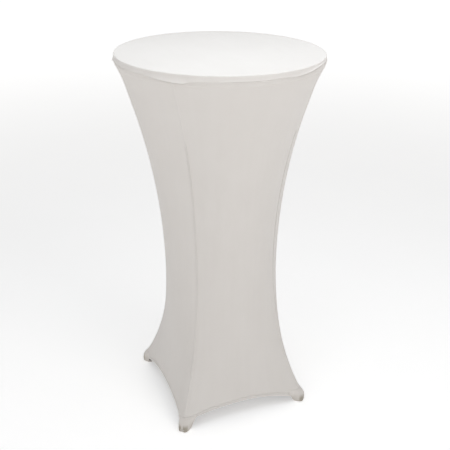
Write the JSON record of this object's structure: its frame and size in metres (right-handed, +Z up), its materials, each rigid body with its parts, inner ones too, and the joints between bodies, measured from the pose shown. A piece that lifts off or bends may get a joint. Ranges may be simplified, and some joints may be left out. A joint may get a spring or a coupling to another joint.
{
  "type": "stretch tablecloth on a round bar table",
  "caption": "White stretch cover pulled over a tall round pedestal table: flat round top, waisted skirt with corner seams, arched hems, and pockets that hold the feet.",
  "frame": {"origin": "on the floor, on the column's axis, under the middle of the tabletop", "axes": "+Z up along the column. The feet stand on the diagonals between X and Y; each side of the skirt faces along X or Y, and the front faces -Y"},
  "size_m": [0.606, 0.606, 1.15],
  "materials": {
    "cover_fabric": "matt knitted stretch fabric with a faint sheen",
    "cover_stitching": "overlocked seam in matching thread",
    "black_nylon": "moulded black nylon",
    "zinc_plated_steel": "zinc plated",
    "black_powder_coat": "satin black powder coat",
    "white_melamine": "chipboard with a white melamine face and edge",
    "brass": "turned brass"
  },
  "bodies": {
    "table_and_cover": {"tabletop_board": "white_melamine", "tabletop_edge_band": "white_melamine", "top_spider": "black_powder_coat", "spider_screws": "zinc_plated_steel", "column_tube": "black_powder_coat", "tie_rod": "zinc_plated_steel", "tie_rod_nuts": "zinc_plated_steel", "tie_rod_washers": "zinc_plated_steel", "base_plate": "black_powder_coat", "base_socket": "black_powder_coat", "base_arm_fl": "black_powder_coat", "base_arm_fr": "black_powder_coat", "base_arm_br": "black_powder_coat", "base_arm_bl": "black_powder_coat", "arm_bolts": "zinc_plated_steel", "arm_nuts": "zinc_plated_steel", "arm_shoe_fl": "black_nylon", "arm_shoe_fr": "black_nylon", "arm_shoe_br": "black_nylon", "arm_shoe_bl": "black_nylon", "glide_inserts": "brass", "pocket_sleeve_fl": "cover_fabric", "pocket_sleeve_fr": "cover_fabric", "pocket_sleeve_br": "cover_fabric", "pocket_sleeve_bl": "cover_fabric", "cover_top_panel": "cover_fabric", "cover_top_seam": "cover_stitching", "skirt_panel_front": "cover_fabric", "skirt_panel_right": "cover_fabric", "skirt_panel_back": "cover_fabric", "skirt_panel_left": "cover_fabric", "corner_seam_fl": "cover_stitching", "corner_seam_fr": "cover_stitching", "corner_seam_br": "cover_stitching", "corner_seam_bl": "cover_stitching", "hem_front": "cover_fabric", "hem_right": "cover_fabric", "hem_back": "cover_fabric", "hem_left": "cover_fabric"},
    "glide_fl": {"glide_stud_fl": "zinc_plated_steel", "glide_foot_fl": "black_nylon", "foot_pocket_fl": "cover_fabric"},
    "glide_fr": {"glide_stud_fr": "zinc_plated_steel", "glide_foot_fr": "black_nylon", "foot_pocket_fr": "cover_fabric"},
    "glide_br": {"glide_stud_br": "zinc_plated_steel", "glide_foot_br": "black_nylon", "foot_pocket_br": "cover_fabric"},
    "glide_bl": {"glide_stud_bl": "zinc_plated_steel", "glide_foot_bl": "black_nylon", "foot_pocket_bl": "cover_fabric"}
  },
  "joints": [
    {"name": "glide_fl_height", "type": "slide", "parent": "table_and_cover", "child": "glide_fl", "axis": [0, 0, -1], "range_m": [0, 0.008]},
    {"name": "glide_fr_height", "type": "slide", "parent": "table_and_cover", "child": "glide_fr", "axis": [0, 0, -1], "range_m": [0, 0.008]},
    {"name": "glide_br_height", "type": "slide", "parent": "table_and_cover", "child": "glide_br", "axis": [0, 0, -1], "range_m": [0, 0.008]},
    {"name": "glide_bl_height", "type": "slide", "parent": "table_and_cover", "child": "glide_bl", "axis": [0, 0, -1], "range_m": [0, 0.008]}
  ]
}
